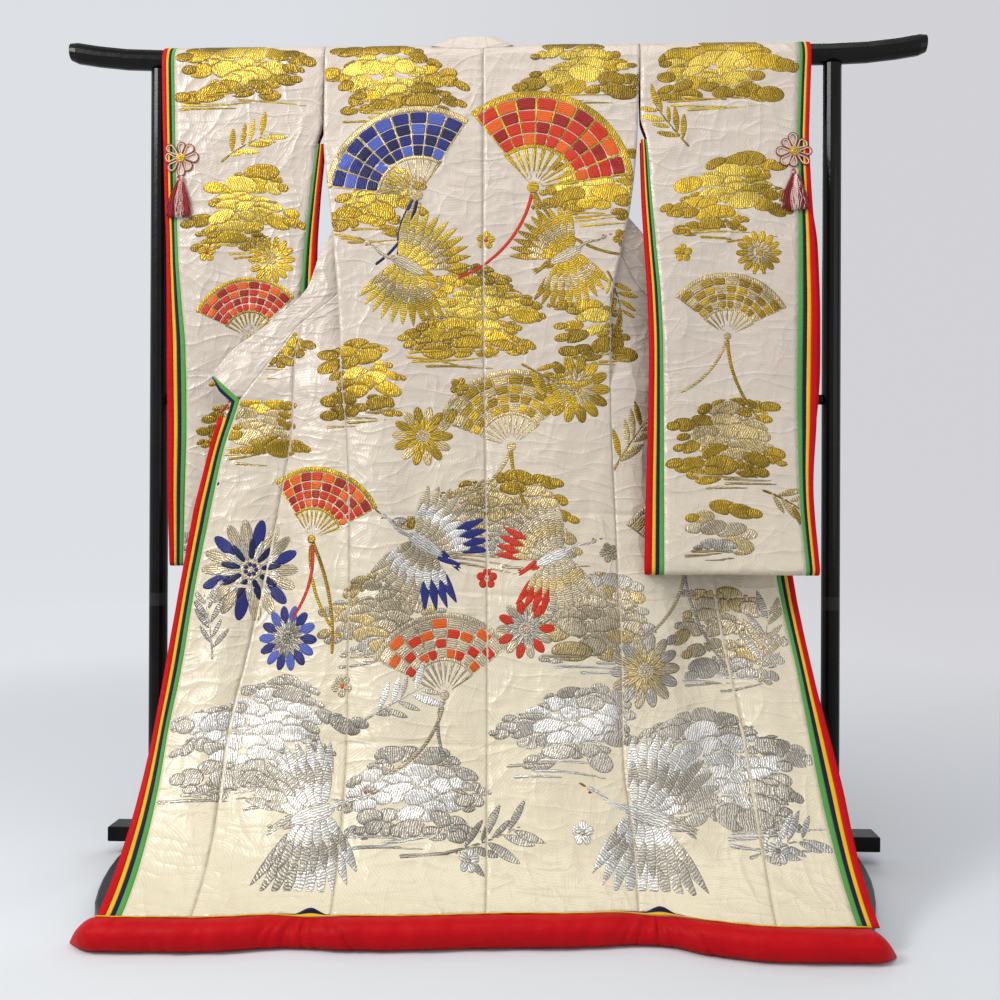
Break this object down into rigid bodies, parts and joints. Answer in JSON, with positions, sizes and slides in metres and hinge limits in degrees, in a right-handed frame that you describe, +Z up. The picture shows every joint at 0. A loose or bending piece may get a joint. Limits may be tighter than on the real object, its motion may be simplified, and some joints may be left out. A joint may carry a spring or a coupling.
{
  "type": "uchikake wedding kimono on a kimono stand",
  "caption": "Padded-hem uchikake wedding kimono spread open, back to the front, on a lacquered kimono stand, with striped lining edges and a flower knot and tassel on each sleeve.",
  "frame": {"origin": "the middle of the whole object's footprint, on the floor", "axes": "+X to the right across the kimono's back, -Y the way its back faces, +Z up"},
  "size_m": [1.78, 0.9979, 1.7013],
  "materials": {
    "silk_ivory": "figured satin",
    "silk_red": "plain silk",
    "silk_yellow": "plain silk",
    "silk_navy": "plain silk",
    "silk_green": "plain silk",
    "cord_pink": "twisted cord",
    "cord_gold": "gold thread",
    "lacquer_black": "gloss lacquer"
  },
  "bodies": {
    "root": {"base_rail": "lacquer_black", "body_left": "silk_ivory", "body_right": "silk_ivory", "collar": "silk_ivory", "foot_left": "lacquer_black", "foot_right": "lacquer_black", "front_green_left": "silk_green", "front_green_right": "silk_green", "front_navy_left": "silk_navy", "front_navy_right": "silk_navy", "front_red_left": "silk_red", "front_red_right": "silk_red", "front_yellow_left": "silk_yellow", "front_yellow_right": "silk_yellow", "hem_navy": "silk_navy", "hem_roll": "silk_red", "hem_yellow": "silk_yellow", "knot_heart_left": "cord_gold", "knot_heart_right": "cord_gold", "knot_left": "cord_pink", "knot_right": "cord_pink", "mid_rail": "lacquer_black", "okumi_left": "silk_ivory", "okumi_right": "silk_ivory", "post_left": "lacquer_black", "post_right": "lacquer_black", "sleeve_inner_green_left": "silk_green", "sleeve_inner_green_right": "silk_green", "sleeve_inner_navy_left": "silk_navy", "sleeve_inner_navy_right": "silk_navy", "sleeve_inner_red_left": "silk_red", "sleeve_inner_red_right": "silk_red", "sleeve_inner_yellow_left": "silk_yellow", "sleeve_inner_yellow_right": "silk_yellow", "sleeve_left": "silk_ivory", "sleeve_right": "silk_ivory", "sleeve_wrist_green_left": "silk_green", "sleeve_wrist_green_right": "silk_green", "sleeve_wrist_navy_left": "silk_navy", "sleeve_wrist_navy_right": "silk_navy", "sleeve_wrist_red_left": "silk_red", "sleeve_wrist_red_right": "silk_red", "sleeve_wrist_yellow_left": "silk_yellow", "sleeve_wrist_yellow_right": "silk_yellow", "tassel_left": "cord_pink", "tassel_right": "cord_pink", "top_bar": "lacquer_black"}
  },
  "joints": []
}
